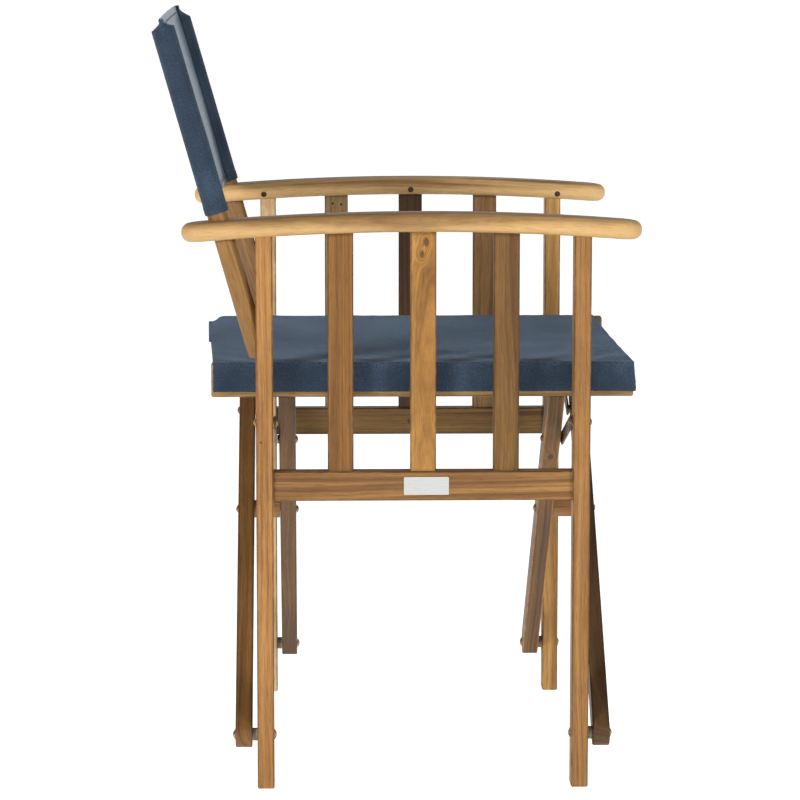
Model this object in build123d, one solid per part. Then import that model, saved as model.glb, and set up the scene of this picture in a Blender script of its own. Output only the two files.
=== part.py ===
from build123d import *
import os
from math import atan2, cos, degrees, hypot, radians, sin

os.makedirs("parts", exist_ok=True)

# Folding director chair. Millimetres, +Z up. The chair faces -Y, and its right-hand side is at -X.
# The origin is on the floor, under the middle of the chair's bounding box.

# ---- driving dimensions ----------------------------------------------------------------------
SPAN_X = 494.0            # between the middle planes of the two side frames
SPAN_Y = 351.0            # between the rear and front legs of a side frame
REAR_LEG_Y = 148.9        # where the rear legs stand

LEG_WIDTH = 30.0          # along X
LEG_DEPTH = 19.0          # along Y
LEG_CHAMFER = 1.5         # round the foot
BAR_EDGE = 1.6            # rounding of a bar's long edges
LEG_TENON = (12.0, 9.0, 11.0)

RAIL_LOW = 325.7          # lower rail of a side frame
RAIL_HIGH = 358.5
RAIL_THICK = 21.0
RAIL_TENON = (8.0, 8.0, 22.0)
SLAT_WIDTH = 28.6         # along Y
SLAT_THICK = 14.0
SLAT_TENON = (8.0, 18.0, 9.0)
SLAT_FORWARD = {"rear": 84.1, "middle": 175.5, "front": 267.4}

ARM_WIDTH = 46.0
ARM_THICK = 20.8
ARM_CROWN = 625.0         # height of the underside at the top of its arch
ARM_RADIUS = 2850.0       # of the arch, at the underside
ARM_BACK = -90.5          # its ends, forward of the rear leg
ARM_FRONT = 416.5
ARM_EDGE = 9.5
PLUG_R = 3.5
PLUG_DEEP = 8.0
PLUG_RISE = 6.5           # above an armrest's underside
PLUG_OUT = 5.0            # outside the middle of a leg

POST_R = 11.4
POST_LEAN = 16.0          # degrees back from upright
POST_FORWARD = -41.9      # a point of its axis
POST_HEIGHT = 613.0
POST_FOOT = 485.6
POST_TOP = 838.0
POST_EDGE = 3.0

FOOT_Z = 59.5             # lower pivots
CROSS_Z = 273.0           # crossing pivots, midway between the side frames
CROSS_WIDTH = 29.0        # of a cross leg, in the plane that it swings in
CROSS_DEPTH = 19.0        # of a cross leg, along Y
GAP = 5.6                 # between an upright and the cross leg beside it
CLEAR = 0.3               # between parts that turn past each other
RUN = 0.05                # radial clearance of a hole that turns on a bolt

SEAT_RAIL_OUT = 224.0     # its outer face
SEAT_RAIL_THICK = 15.0
SEAT_RAIL_LOW = 437.3
SEAT_RAIL_HIGH = 475.5
SEAT_RAIL_EDGE = 2.5
SEAT_BACK = -59.5         # its ends, forward of the rear leg
SEAT_FRONT = 411.0

BOLT_R = 3.0
HEAD_R = 5.0
HEAD_HIGH = 2.8
FOOT_HEAD_R = 6.0
FOOT_SPACER_R = 7.25
CROSS_SPACER_R = 10.4
SCREW_R = 2.2
SCREW_HEAD_R = 4.0
SCREW_HEAD_HIGH = 2.5
SCREW_GRIP = 9.0          # in the end of a cross leg
SCREW_Z = 448.0           # high enough for a flap of the seat to cover the heads
SCREW_APART = 9.6

STRAP_PIVOT_Z = 412.0     # on the uprights
STRAP_REACH = 154.2       # from the crossing to the strap's pivot on a cross leg
STRAP_WIDTH = 15.0
STRAP_THICK = 2.0
STRAP_WASHER_R = 6.6
STRAP_WASHER = 0.9
STRAP_PLAY = 0.2          # each side of a strap
STRAP_END_HEAD = 1.9
RIVET_R = 4.5
RIVET_HIGH = 0.8

CLOTH = 1.2
HOLLOW = 0.35             # between a sling and the wood that it is put on
FLAP_LOW = 443.5
SEAT_SAG = 5.0
SLEEVE_LOW = 643.5
SLEEVE_HIGH = 857.0
SLEEVE_TAPER = 26.0       # height of the pinched top of a sleeve
PANEL_SET_BACK = 3.0      # the back panel, behind the axes of the posts

PLATE_SIZE = (1.0, 50.0, 20.0)
PLATE_CORNER = 1.5
PLATE_FORWARD = 179.0
PLATE_Z = 342.5

# ---- worked out from them --------------------------------------------------------------------
SIDE_X = SPAN_X / 2
SLOPE = atan2(CROSS_Z - FOOT_Z, SIDE_X)
CROSS_OFFSET = LEG_DEPTH / 2 + GAP + CROSS_DEPTH / 2
SEAT_RAIL_IN = SEAT_RAIL_OUT - SEAT_RAIL_THICK
STRAP_END_X = STRAP_REACH * cos(SLOPE)
STRAP_END_Z = CROSS_Z + STRAP_REACH * sin(SLOPE)
LEAN = radians(POST_LEAN)
SLEEVE_R = POST_R + HOLLOW + CLOTH

SIDES = {"right": -1, "left": 1}
LEGS = {"rear": 0.0, "front": SPAN_Y}
# The cross leg on each upright's foot stands behind it (-1) or forward of it (1).
# The strap at the top of the same upright is on its other face.
FOOT_SIDE = {("right", "rear"): -1, ("right", "front"): 1, ("left", "rear"): 1, ("left", "front"): -1}


def y_at(forward):
    """Y of a point this far forward of the rear legs."""
    return REAR_LEG_Y - forward


def save(name, *solids):
    """Write one node: a solid, or a group of separate solids."""
    shape = solids[0] if len(solids) == 1 else Compound(children=list(solids))
    export_step(shape, f"parts/{name}.step")


def pin(radius, start, end, x, z):
    """A round bar along Y, between two places given as distances forward of the rear legs."""
    middle = y_at((start + end) / 2)
    return Pos(x, middle, z) * Cylinder(radius, abs(end - start), rotation=(90, 0, 0))


def dome(radius, high, forward, x, z, way):
    """A domed head on a face across Y. It stands out forward when way is 1, and back when way is -1."""
    ball = (radius**2 + high**2) / (2 * high)
    cap = Pos(0, 0, high - ball) * Sphere(ball)
    cap = cap & Pos(0, 0, high) * Box(3 * radius, 3 * radius, 2 * high)
    return Pos(x, y_at(forward), z) * Rot(90 * way, 0, 0) * cap


def upright(size_x, size_y, low, high, x, forward):
    """A bar along Z with rounded long edges."""
    bar = Box(size_x, size_y, high - low)
    bar = fillet(bar.edges().filter_by(Axis.Z), BAR_EDGE)
    return Pos(x, y_at(forward), (low + high) / 2) * bar


def block(size, x, forward, z):
    """A plain box about a point."""
    return Pos(x, y_at(forward), z) * Box(*size)


def arm_underside(forward):
    """Height of an armrest's underside."""
    off = forward - SPAN_Y / 2
    return ARM_CROWN - ARM_RADIUS + (ARM_RADIUS**2 - off**2) ** 0.5


def armrest(x):
    """A gently arched bar with round ends and softened edges."""
    centre = Pos(x, y_at(SPAN_Y / 2), ARM_CROWN - ARM_RADIUS)
    outer = Cylinder(ARM_RADIUS + ARM_THICK, ARM_WIDTH, rotation=(0, 90, 0))
    inner = Cylinder(ARM_RADIUS, 2 * ARM_WIDTH, rotation=(0, 90, 0))
    plan = SlotOverall(ARM_FRONT - ARM_BACK, ARM_WIDTH, rotation=90)
    blank = extrude(plan, 4 * ARM_THICK)
    blank = Pos(x, y_at((ARM_FRONT + ARM_BACK) / 2), ARM_CROWN - 2 * ARM_THICK) * blank
    arm = blank & (centre * (outer - inner))
    return fillet(arm.edges().filter_by(lambda e: abs(e.tangent_at(0.5).Z) < 0.5), ARM_EDGE)


def on_post(shape, x):
    """Lean a shape that is made about the Z axis, and put it in its place on one post."""
    return Pos(x, y_at(POST_FORWARD), POST_HEIGHT) * Rot(-POST_LEAN, 0, 0) * shape


def up_post(height):
    """Distance along a post's axis, from POST_HEIGHT to another height."""
    return (height - POST_HEIGHT) / cos(LEAN)


def back_post(x):
    """A leaning dowel. Its lower end is cut level, and flat against the back of the rear leg."""
    top = up_post(POST_TOP)
    foot = up_post(POST_FOOT) - 2 * POST_R
    post = Pos(0, 0, (top + foot) / 2) * Cylinder(POST_R, top - foot)
    post = fillet(post.edges().sort_by(Axis.Z)[-1], POST_EDGE)
    post = on_post(post, x)
    below = block((4 * POST_R, 8 * POST_R, 4 * POST_R), x, 0, POST_FOOT - 2 * POST_R)
    leg = block((4 * POST_R, LEG_DEPTH, POST_TOP), x, 0, POST_TOP / 2)
    return post - below - leg


def side_frame(side):
    """Legs, lower rail, slats, armrest, back post and the plugs over their fixings."""
    way = SIDES[side]
    x = way * SIDE_X
    whole_arm = armrest(x)
    post = back_post(x)
    arm = whole_arm - post
    rail_length = SPAN_Y - LEG_DEPTH
    rail_z = (RAIL_LOW + RAIL_HIGH) / 2
    rail = Box(RAIL_THICK, rail_length, RAIL_HIGH - RAIL_LOW)
    rail = Pos(x, y_at(SPAN_Y / 2), rail_z) * fillet(rail.edges().filter_by(Axis.Y), BAR_EDGE)
    tenon_x, tenon_long, tenon_z = RAIL_TENON
    inside_arm = ARM_CROWN + ARM_THICK / 4
    rail = rail + block((tenon_x, rail_length + 2 * tenon_long, tenon_z), x, SPAN_Y / 2, rail_z)

    for place, forward in LEGS.items():
        tenon_x, tenon_y, tenon_long = LEG_TENON
        tenon_high = arm_underside(forward) + tenon_long
        tenon = upright(tenon_x, tenon_y, RAIL_HIGH, tenon_high, x, forward)
        leg = upright(LEG_WIDTH, LEG_DEPTH, 0, inside_arm, x, forward)
        leg = chamfer(leg.faces().sort_by(Axis.Z)[0].edges(), LEG_CHAMFER)
        leg = leg - whole_arm + tenon - rail
        for z in (FOOT_Z, STRAP_PIVOT_Z):
            leg = leg - pin(BOLT_R, forward - LEG_DEPTH, forward + LEG_DEPTH, x, z)
        arm = arm - tenon
        save(f"{side}_{place}_leg", leg)

    for place, forward in SLAT_FORWARD.items():
        tenon_x, tenon_y, tenon_long = SLAT_TENON
        tenon_high = arm_underside(forward) + tenon_long
        tenon = block((tenon_x, tenon_y, tenon_high - RAIL_HIGH + tenon_long), x, forward,
                      (tenon_high + RAIL_HIGH - tenon_long) / 2)
        slat = upright(SLAT_THICK, SLAT_WIDTH, RAIL_HIGH, inside_arm, x, forward)
        slat = slat - whole_arm + tenon
        arm = arm - tenon
        rail = rail - tenon
        save(f"{side}_{place}_slat", slat)

    plugs = []
    for forward in (-PLUG_OUT, SLAT_FORWARD["middle"], SPAN_Y + PLUG_OUT):
        arm_plug = plug(side, ARM_WIDTH / 2, forward, arm_underside(forward) + PLUG_RISE) & whole_arm
        arm = arm - arm_plug
        plugs.append(arm_plug)
    rail_plug = plug(side, RAIL_THICK / 2, SLAT_FORWARD["middle"], rail_z)
    rail = rail - rail_plug
    save(f"{side}_frame_plugs", *plugs, rail_plug)
    save(f"{side}_armrest", arm)
    save(f"{side}_lower_rail", rail)
    save(f"{side}_back_post", post)


def plug(side, face, forward, z):
    """A wooden plug, flush with the inner face of an armrest or a lower rail."""
    way = SIDES[side]
    x = way * (SIDE_X - face + PLUG_DEEP / 2)
    return Pos(x, y_at(forward), z) * Cylinder(PLUG_R, PLUG_DEEP, rotation=(0, 90, 0))


def foot_pivots(side):
    """Bolts and spacers that hold the cross legs to the feet of one side frame."""
    x = SIDES[side] * SIDE_X
    bolts = []
    spacers = []
    for place, forward in LEGS.items():
        way = FOOT_SIDE[side, place]
        leg_face = forward - way * LEG_DEPTH / 2
        far_face = forward + way * (CROSS_OFFSET + CROSS_DEPTH / 2 + CLEAR)
        bolt = pin(BOLT_R, leg_face, far_face, x, FOOT_Z)
        bolt = bolt + dome(FOOT_HEAD_R, HEAD_HIGH, leg_face, x, FOOT_Z, -way)
        bolts.append(bolt + dome(FOOT_HEAD_R, HEAD_HIGH, far_face, x, FOOT_Z, way))
        near = forward + way * LEG_DEPTH / 2
        spacer = pin(FOOT_SPACER_R, near, near + way * (GAP - CLEAR), x, FOOT_Z)
        spacers.append(spacer - pin(BOLT_R, near - GAP, near + GAP, x, FOOT_Z))
    save(f"{side}_foot_bolts", *bolts)
    save(f"{side}_foot_spacers", *spacers)


def strap_pivots(side):
    """Bolts and washers that the straps turn on, at the top of one side frame."""
    x = SIDES[side] * SIDE_X
    pieces = []
    for place, forward in LEGS.items():
        way = -FOOT_SIDE[side, place]
        back_face = forward - way * LEG_DEPTH / 2
        face = forward + way * LEG_DEPTH / 2
        end = face + way * (STRAP_WASHER + STRAP_THICK + 2 * STRAP_PLAY)
        bolt = pin(BOLT_R, back_face, end, x, STRAP_PIVOT_Z)
        bolt = bolt + dome(HEAD_R, HEAD_HIGH, back_face, x, STRAP_PIVOT_Z, -way)
        bolt = bolt + dome(HEAD_R, STRAP_END_HEAD, end, x, STRAP_PIVOT_Z, way)
        washer = pin(STRAP_WASHER_R, face, face + way * STRAP_WASHER, x, STRAP_PIVOT_Z)
        pieces += [bolt, washer - pin(BOLT_R, face - GAP, face + GAP, x, STRAP_PIVOT_Z)]
    save(f"{side}_strap_bolts", *pieces)


def straps(side):
    """Flat metal straps from one side frame's uprights to the cross legs that rise to that side."""
    way_x = SIDES[side]
    run = SIDE_X - STRAP_END_X
    drop = STRAP_PIVOT_Z - STRAP_END_Z
    tilt = degrees(atan2(drop, run))
    rivets = []
    for place, forward in LEGS.items():
        way = -FOOT_SIDE[side, place]
        near = forward + way * (LEG_DEPTH / 2 + STRAP_WASHER + STRAP_PLAY)
        far = near + way * STRAP_THICK
        flat = SlotCenterToCenter(hypot(run, drop), STRAP_WIDTH)
        strap = Rot(90, 0, 0) * extrude(flat, STRAP_THICK / 2, both=True)
        middle = Pos(way_x * (SIDE_X + STRAP_END_X) / 2, y_at((near + far) / 2),
                     (STRAP_PIVOT_Z + STRAP_END_Z) / 2)
        strap = middle * Rot(0, -tilt * way_x, 0) * strap
        end_x = way_x * STRAP_END_X
        strap = strap - pin(BOLT_R + RUN, near - GAP, near + GAP, way_x * SIDE_X, STRAP_PIVOT_Z)
        strap = strap - pin(BOLT_R, near - GAP, near + GAP, end_x, STRAP_END_Z)
        rivet = pin(BOLT_R, near, far, end_x, STRAP_END_Z)
        rivets.append(rivet + pin(RIVET_R, near, near - way * RIVET_HIGH, end_x, STRAP_END_Z))
        save(f"{side}_{place}_strap", strap)
    save(f"{side}_strap_rivets", *rivets)


def cross_leg(foot_way, forward, turns_at_crossing):
    """One bar of a scissor: round at its foot, and cut upright against the seat rail at its top."""
    long = 2 * SIDE_X / cos(SLOPE)
    bar = Pos(long / 2, 0, 0) * Box(long, CROSS_DEPTH, CROSS_WIDTH)
    bar = bar + Cylinder(CROSS_WIDTH / 2, CROSS_DEPTH, rotation=(90, 0, 0))
    bar = fillet(bar.faces().filter_by(Axis.Y).edges(), BAR_EDGE)
    bar = Pos(-SIDE_X, y_at(forward), FOOT_Z) * Rot(0, -degrees(SLOPE), 0) * bar
    over = SIDE_X
    bar = bar - Pos(SEAT_RAIL_IN + over / 2, y_at(forward), SEAT_RAIL_HIGH) * Box(over, over, 2 * over)
    crossing_r = BOLT_R + RUN if turns_at_crossing else BOLT_R
    for radius, x, z in ((BOLT_R + RUN, -SIDE_X, FOOT_Z), (crossing_r, 0, CROSS_Z),
                         (BOLT_R, STRAP_END_X, STRAP_END_Z)):
        bar = bar - pin(radius, forward - CROSS_DEPTH, forward + CROSS_DEPTH, x, z)
    for spot in screw_places(forward):
        bar = bar - rail_screw(1, spot)
    return bar if foot_way < 0 else mirror(bar, Plane.YZ)


def screw_places(forward):
    """Where the two screws into a cross leg's end stand, forward of the rear leg."""
    return [forward - SCREW_APART / 2, forward + SCREW_APART / 2]


def rail_screw(way_x, forward):
    """A countersunk wood screw, through a seat rail into the end of a cross leg."""
    long = SEAT_RAIL_THICK + SCREW_GRIP
    x = way_x * (SEAT_RAIL_OUT - long / 2)
    head_x = way_x * (SEAT_RAIL_OUT - SCREW_HEAD_HIGH / 2)
    shank = Pos(x, y_at(forward), SCREW_Z) * Cylinder(SCREW_R, long, rotation=(0, 90, 0))
    head = Cylinder(SCREW_HEAD_R, SCREW_HEAD_HIGH, rotation=(0, 90, 0))
    return shank + Pos(head_x, y_at(forward), SCREW_Z) * head


def cross_frame(name, foot_side, top_side, offset):
    """A pair of cross legs, the seat rail across their tops, and the screws and strap bolts on them.

    offset is how far the rear leg of the pair stands forward of the rear upright. The front leg
    stands as far behind the front upright.
    """
    foot_way = SIDES[foot_side]
    top_way = SIDES[top_side]
    size = (SEAT_RAIL_THICK, SEAT_FRONT - SEAT_BACK, SEAT_RAIL_HIGH - SEAT_RAIL_LOW)
    rail = fillet(Box(*size).edges(), SEAT_RAIL_EDGE)
    rail_x = top_way * (SEAT_RAIL_OUT - SEAT_RAIL_THICK / 2)
    rail_z = (SEAT_RAIL_LOW + SEAT_RAIL_HIGH) / 2
    rail = Pos(rail_x, y_at((SEAT_FRONT + SEAT_BACK) / 2), rail_z) * rail
    screws = []
    bolts = []
    for place, leg_forward in LEGS.items():
        inward = 1 if place == "rear" else -1
        forward = leg_forward + inward * offset
        save(f"{name}_{place}_cross_leg", cross_leg(foot_way, forward, name == "inner"))
        for spot in screw_places(forward):
            screws.append(rail_screw(top_way, spot))
        way = 1 if forward > leg_forward else -1
        bolts.append(strap_end_bolt(top_way * STRAP_END_X, forward, way))
    for screw in screws:
        rail = rail - screw
    save(f"{top_side}_seat_rail", rail)
    save(f"{top_side}_rail_screws", *screws)
    save(f"{name}_strap_end_bolts", *bolts)


def strap_end_bolt(x, forward, way):
    """The bolt on a cross leg that a strap's end lies against. Its head is on the leg's other face."""
    head_face = forward + way * CROSS_DEPTH / 2
    strap_face = forward - way * CROSS_DEPTH / 2
    reach = GAP - STRAP_WASHER - STRAP_THICK - 2 * STRAP_PLAY - CLEAR / 2
    bolt = pin(BOLT_R, head_face, strap_face, x, STRAP_END_Z)
    bolt = bolt + dome(HEAD_R, HEAD_HIGH, head_face, x, STRAP_END_Z, way)
    return bolt + pin(HEAD_R, strap_face, strap_face - way * reach, x, STRAP_END_Z)


def crossings():
    """Bolts and wooden spacers at the two crossings. They are fixed in the outer pair of cross legs."""
    bolts = []
    spacers = []
    for place, forward in LEGS.items():
        way = 1 if place == "rear" else -1
        outer_face = forward - way * (CROSS_OFFSET + CROSS_DEPTH / 2)
        inner_face = forward + way * (CROSS_OFFSET + CROSS_DEPTH / 2 + CLEAR)
        bolt = pin(BOLT_R, outer_face, inner_face, 0, CROSS_Z)
        bolt = bolt + dome(HEAD_R, HEAD_HIGH, outer_face, 0, CROSS_Z, -way)
        bolts.append(bolt + dome(HEAD_R, HEAD_HIGH, inner_face, 0, CROSS_Z, way))
        start = forward - way * (CROSS_OFFSET - CROSS_DEPTH / 2)
        end = forward + way * (CROSS_OFFSET - CROSS_DEPTH / 2 - CLEAR)
        spacer = pin(CROSS_SPACER_R, start, end, 0, CROSS_Z)
        spacers.append(spacer - pin(BOLT_R, start, end, 0, CROSS_Z))
    save("cross_bolts", *bolts)
    save("cross_spacers", *spacers)


def name_plate():
    """A blank plate on the outside of the right lower rail."""
    x = -SIDE_X - RAIL_THICK / 2 - PLATE_SIZE[0] / 2
    plate = Box(*PLATE_SIZE)
    plate = fillet(plate.edges().filter_by(Axis.X), PLATE_CORNER)
    save("name_plate", Pos(x, y_at(PLATE_FORWARD), PLATE_Z) * plate)


def seat_sling():
    """Cloth over both seat rails, with a flap down the outside of each."""
    inside = SEAT_RAIL_OUT + HOLLOW
    under = SEAT_RAIL_HIGH + HOLLOW
    out = inside + CLOTH
    top = under + CLOTH
    edge = SEAT_RAIL_IN
    flap = [(edge, top), (out, top), (out, FLAP_LOW), (inside, FLAP_LOW), (inside, under), (edge, under)]
    left = Polyline(*flap)
    right = Polyline(*[(-x, z) for x, z in flap])
    below = ThreePointArc((edge, under), (0, under - SEAT_SAG), (-edge, under))
    above = ThreePointArc((-edge, top), (0, top - SEAT_SAG), (edge, top))
    section = make_face(left.edges() + below.edges() + right.edges() + above.edges())
    cloth = Rot(90, 0, 0) * extrude(section, SEAT_FRONT - SEAT_BACK)
    save("seat_sling", Pos(0, y_at(SEAT_BACK), 0) * cloth)


def back_sling():
    """Cloth panel with a sleeve at each end, pinched shut at the top, over the two posts."""
    low = up_post(SLEEVE_LOW)
    high = up_post(SLEEVE_HIGH)
    post_top = up_post(POST_TOP) + HOLLOW
    shoulder = high - SLEEVE_TAPER
    wide = SLEEVE_R + CLOTH
    roof = Polyline((wide, low), (wide, shoulder), (CLOTH, high), (-CLOTH, high), (-wide, shoulder),
                    (-wide, low), close=True)
    roof = extrude(Plane.YZ * make_face(roof), 2 * SLEEVE_R, both=True)
    sleeve = Pos(0, 0, (low + high) / 2) * Cylinder(SLEEVE_R, high - low)
    sleeve = sleeve & roof
    hollow = Pos(0, 0, (low + post_top) / 2) * Cylinder(POST_R + HOLLOW, post_top - low)
    panel = Box(SPAN_X - 2 * SLEEVE_R + CLOTH, CLOTH, high - low)
    panel = Pos(0, PANEL_SET_BACK, (low + high) / 2) * panel
    cloth = on_post(panel, 0)
    for way in SIDES.values():
        cloth = cloth + on_post(sleeve, way * SIDE_X)
    for way in SIDES.values():
        cloth = cloth - on_post(hollow, way * SIDE_X)
    save("back_sling", cloth)


for side_name in SIDES:
    side_frame(side_name)
    foot_pivots(side_name)
    strap_pivots(side_name)
    straps(side_name)
cross_frame("outer", "right", "left", -CROSS_OFFSET)
cross_frame("inner", "left", "right", CROSS_OFFSET)
crossings()
name_plate()
seat_sling()
back_sling()
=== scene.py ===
import math

import bpy
import numpy as np
from mathutils import Matrix, Vector, noise


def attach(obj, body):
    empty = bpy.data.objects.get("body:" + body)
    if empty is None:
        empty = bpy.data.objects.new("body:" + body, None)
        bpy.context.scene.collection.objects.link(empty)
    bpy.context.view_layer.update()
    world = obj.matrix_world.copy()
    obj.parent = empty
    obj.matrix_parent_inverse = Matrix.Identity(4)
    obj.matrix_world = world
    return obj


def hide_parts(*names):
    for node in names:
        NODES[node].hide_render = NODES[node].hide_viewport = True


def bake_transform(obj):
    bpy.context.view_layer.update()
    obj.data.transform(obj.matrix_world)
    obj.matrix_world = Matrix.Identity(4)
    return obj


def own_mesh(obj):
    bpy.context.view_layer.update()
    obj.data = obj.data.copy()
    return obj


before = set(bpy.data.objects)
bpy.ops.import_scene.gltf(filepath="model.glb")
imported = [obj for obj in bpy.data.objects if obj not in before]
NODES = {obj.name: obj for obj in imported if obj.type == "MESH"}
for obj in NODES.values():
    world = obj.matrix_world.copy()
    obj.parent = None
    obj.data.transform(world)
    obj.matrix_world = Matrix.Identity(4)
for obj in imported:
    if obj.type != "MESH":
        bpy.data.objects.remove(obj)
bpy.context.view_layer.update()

# The looks of a folding director chair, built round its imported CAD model. Lengths on the chair are in
# millimetres, as in the CAD source, and become metres where a mesh or a material is made.

MM = 0.001

# ---- the chair's dimensions that the cloth and the grain follow --------------------------------
SIDE_X = 247.0            # from the middle to a side frame's middle plane
REAR_LEG_Y = 148.9
LEGS = {"rear": 0.0, "front": 351.0}            # forward of the rear legs
SLATS = {"rear": 84.1, "middle": 175.5, "front": 267.4}
LEG_HALF = (15.0, 9.5)
LEG_MIDDLE = 300.0        # height of the middle of a leg, and of a slat
SLAT_MIDDLE = 480.0
SLAT_HALF = (7.0, 14.3)
RAIL_HALF = (10.5, 16.4)
RAIL_Z = 342.1
ARM_Z = 635.4
ARM_BOW = -0.175          # 1 / (2 x radius of the arch), per metre, downwards
CROSS_Z = 273.0
CROSS_HALF = (14.5, 9.5)
CROSS_SLOPE = 40.839      # degrees above level
CROSS_OFFSET = 24.6       # from the middle of an upright to the middle of the cross leg beside it
SEAT_RAIL_OUT = 224.0
SEAT_RAIL_IN = 209.0
SEAT_RAIL_HIGH = 475.5
SEAT_RAIL_Z = 456.4
SEAT_RAIL_HALF = (7.5, 19.1)
SEAT_RAIL_MID = 175.75    # forward of the rear legs
SEAT_RAIL_BACK = -59.5
POST_R = 11.4
POST_LEAN = 16.0          # degrees back from upright
POST_FORWARD = -41.9      # where a post's axis is POST_HEIGHT high
POST_HEIGHT = 613.0
SIDES = {"right": -1, "left": 1}

# ---- the slings --------------------------------------------------------------------------------
CLOTH = 1.2
HEM_CLOTH = 2.2           # where the cloth is turned over and sewn
HOLLOW = 0.35             # between the cloth and the wood
FOLD_R = 2.85             # of the cloth's underside, over a seat rail's edge
FLAP_LOW = 443.5
SEAT_SAG = 5.0
EDGE_SAG = 0.3            # of that, at the tight front and rear hems
CORNER_DROP = 6.5         # of the cloth past the rear end of the left rail
SEAT_REAR = (-57.3, -73.7)    # the rear edge at the right and the left rail, forward of the rear legs
SEAT_FRONT = (411.5, 400.7)
HEM = 9.5
SLEEVE_LOW = {"right": 645.0, "left": 640.5}
PANEL_LOW = 643.5
SLEEVE_SHOULDER = {"right": 846.0, "left": 839.5}    # on the axis, where the pinched top starts
SLEEVE_RIDGE = {"right": 856.0, "left": 855.5}
RIDGE_HALF = 18.0         # half the width of a sleeve that is pinched flat
PANEL_BACK = -0.6         # behind the posts' axes, so a little in front of them
PANEL_TOP = 857.0
TAIL = 3.0                # how far a sleeve reaches past the round of its post, to its seam
SEAM_IN = 4.0             # from the panel's edge to the outer of its two rows of stitches
STITCH = 3.3              # from one stitch to the next
STITCH_LONG = 2.3
STITCH_R = 0.32

# ---- camera, light and floor -------------------------------------------------------------------
CAMERA_AT = (-4.19134, 0.10363, 0.99621)
CAMERA_PITCH = 8.065      # degrees down
CAMERA_YAW = 1.52         # degrees from +X towards the chair's front
CAMERA_ROLL = 0.036
LENS = 162.0
WALL_LIGHT = 0.95         # of the white room, near the horizon
SIDE_LIGHT = 0.42         # of that, at the walls in front of the chair and behind it
CEILING_LIGHT = 0.40      # overhead
NEAR_LIGHT = 0.45         # of that, on the camera's side of the chair
FLOOR_GLOW = 0.78
SOFTBOXES = {             # each one's place in metres, and its power in watts
    "front_key": ((-2.3, -2.3, 1.6), 62),
    "rear_key": ((-2.6, 2.0, 1.5), 78),
}
SOFTBOX_AIM = (0.0, 0.0, 0.45)
SOFTBOX_SIZE = 0.8
FLOOR_SIZE = 120.0


def y_at(forward):
    """Y of a place this far forward of the rear legs, in millimetres."""
    return REAR_LEG_Y - forward


def linear(red, green, blue):
    """A display colour, 0 to 255, as the linear colour that a shader takes."""
    def one(value):
        value = value / 255
        return value / 12.92 if value <= 0.04045 else ((value + 0.055) / 1.055) ** 2.4
    return (one(red), one(green), one(blue), 1.0)


def scaled(tone, red, green, blue):
    """A display colour with each channel multiplied, and kept under white."""
    return tuple(min(250.0, c * f) for c, f in zip(tone, (red, green, blue)))


# ---- materials ---------------------------------------------------------------------------------
PITH = 0.075              # metres from a bar's middle to the heart of the tree that it was sawn from
SEED_STEP = 7.31          # how far apart in the noise two bars are


class Graph:
    """The shader nodes of one material."""

    def __init__(self, name):
        self.material = bpy.data.materials.new(name)
        self.material.use_nodes = True
        self.tree = self.material.node_tree
        self.tree.nodes.clear()

    def node(self, kind, inputs=None, **settings):
        made = self.tree.nodes.new("ShaderNode" + kind)
        for key, value in settings.items():
            setattr(made, key, value)
        for key, value in (inputs or {}).items():
            self.set(made.inputs[key], value)
        return made

    def set(self, socket, value):
        if isinstance(value, bpy.types.NodeSocket):
            self.tree.links.new(value, socket)
        else:
            socket.default_value = value

    def math(self, operation, *values):
        return self.node("Math", dict(enumerate(values)), operation=operation).outputs[0]

    def length(self, a, b):
        """The square root of a squared plus b squared."""
        squares = self.math("ADD", self.math("MULTIPLY", a, a), self.math("MULTIPLY", b, b))
        return self.math("SQRT", squares)

    def joined(self, x, y, z=0.0):
        return self.node("CombineXYZ", {"X": x, "Y": y, "Z": z}).outputs[0]

    def noise(self, vector, scale=1.0, detail=2.0, roughness=0.5, dimensions="3D"):
        inputs = {"Vector": vector, "Scale": scale, "Detail": detail, "Roughness": roughness}
        return self.node("TexNoise", inputs, noise_dimensions=dimensions).outputs["Fac"]

    def remap(self, value, low, high, to_low=0.0, to_high=1.0):
        """A smooth step from one range to another."""
        inputs = {"Value": value, "From Min": low, "From Max": high, "To Min": to_low, "To Max": to_high}
        return self.node("MapRange", inputs, interpolation_type="SMOOTHSTEP").outputs["Result"]

    def mix(self, share, first, second, blend="MIX"):
        made = self.node("Mix", data_type="RGBA", blend_type=blend, clamp_result=False)
        for socket, value in zip((made.inputs[0], made.inputs[6], made.inputs[7]), (share, first, second)):
            self.set(socket, value)
        return made.outputs[2]

    def ramp(self, value, stops):
        made = self.node("ValToRGB", {"Fac": value})
        points = made.color_ramp.elements
        while len(points) < len(stops):
            points.new(0.5)
        for point, (place, colour) in zip(points, stops):
            point.position = place
            point.color = colour
        return made.outputs["Color"]

    def bump(self, height, distance, strength=1.0):
        inputs = {"Height": height, "Distance": distance, "Strength": strength}
        return self.node("Bump", inputs).outputs["Normal"]

    def finish(self, **inputs):
        """Ends the graph in a Principled shader. Underscores in the names stand for spaces."""
        shader = self.node("BsdfPrincipled", {key.replace("_", " "): value for key, value in inputs.items()})
        self.node("OutputMaterial", {"Surface": shader.outputs[0]})
        return self.material


def bar_axes(g, centre, turn, bow):
    """Coordinates in a bar's own axes, in metres, with its arch taken out."""
    place = {"Vector": g.node("TexCoord").outputs["Object"],
             "Location": [c * MM for c in centre],
             "Rotation": [math.radians(t) for t in turn]}
    bar = g.node("Mapping", place, vector_type="TEXTURE").outputs[0]
    x, y, z = g.node("SeparateXYZ", {"Vector": bar}).outputs
    if bow:
        y = g.math("MULTIPLY_ADD", g.math("MULTIPLY", z, z), bow, y)
    return x, y, z


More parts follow.
